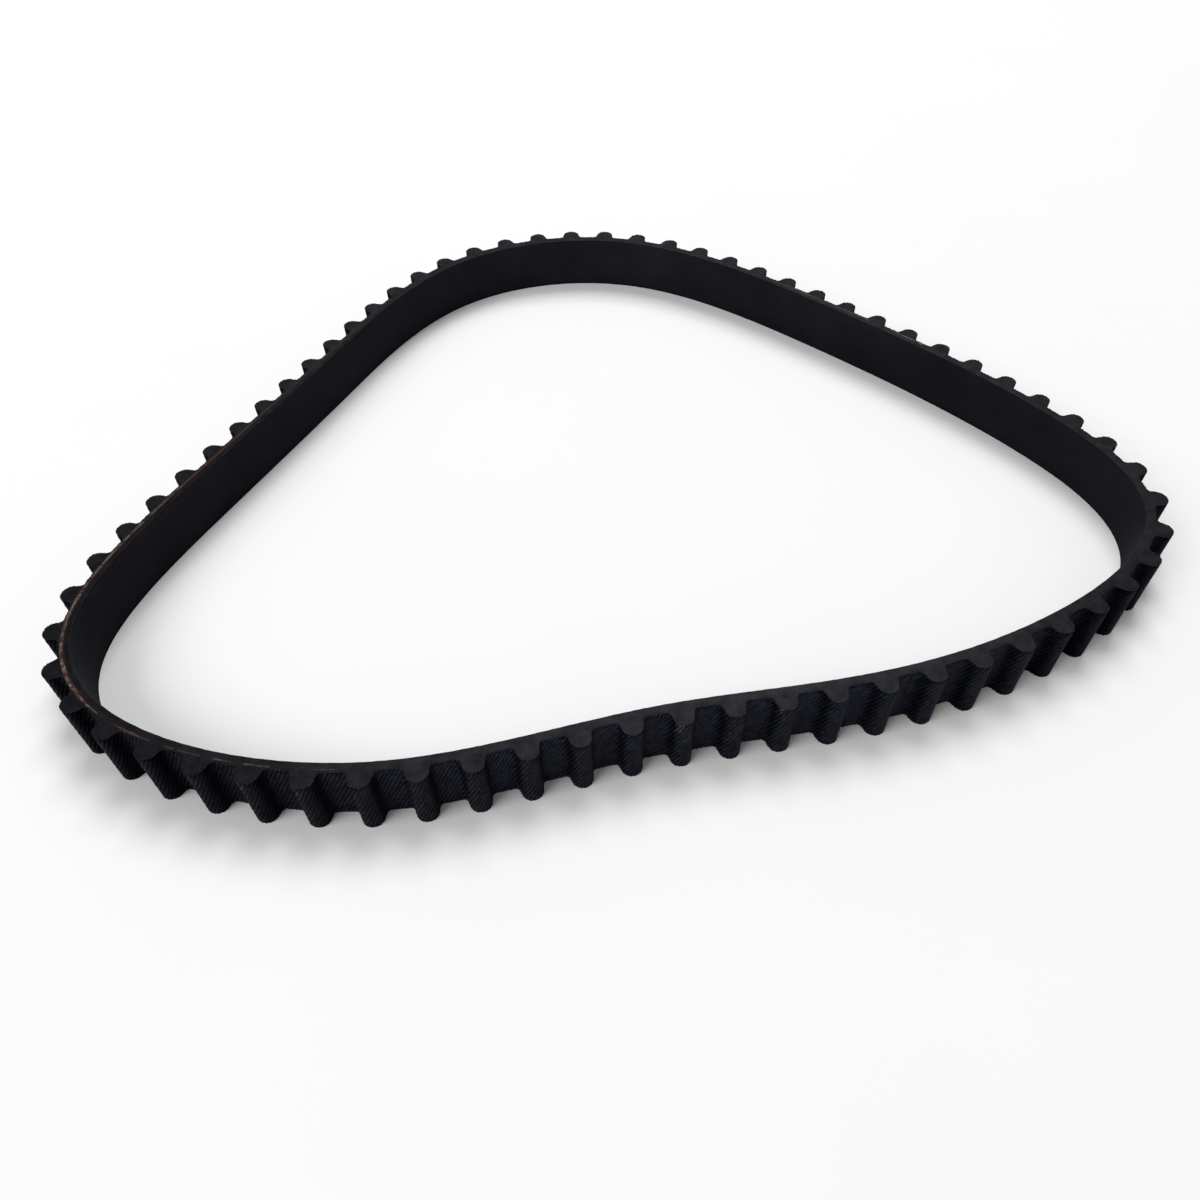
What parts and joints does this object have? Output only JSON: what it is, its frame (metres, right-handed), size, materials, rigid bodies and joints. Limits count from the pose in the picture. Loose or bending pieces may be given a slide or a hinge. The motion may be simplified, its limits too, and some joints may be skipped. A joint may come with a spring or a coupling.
{
  "type": "timing belt",
  "caption": "Endless timing belt turned inside out on its edge: round-crested rubber teeth outwards under twill fabric, smooth back inside, in a loose rounded triangle.",
  "frame": {"origin": "on the floor under the middle of the loop's outer size", "axes": "+Z across the belt's width, from the edge it stands on to the other edge; +X along the loop's longer side, from the left-hand corner to the right-hand one; the slightly hollow side faces -Y"},
  "size_m": [0.23, 0.192, 0.013],
  "materials": {
    "back_rubber": "matt, lightly ground back and cut edges",
    "tooth_rubber": "matt, knife-cut edges",
    "nylon_twill": "black nylon twill, rubber-treated",
    "coated_glass_cord": "brown resin-dipped glass cord, cut flush at the edge"
  },
  "bodies": {
    "root": {"backing": "back_rubber", "tension_cord_s": "coated_glass_cord", "tension_cord_z": "coated_glass_cord", "tooth_rubber": "tooth_rubber", "facing_fabric": "nylon_twill"}
  },
  "joints": []
}
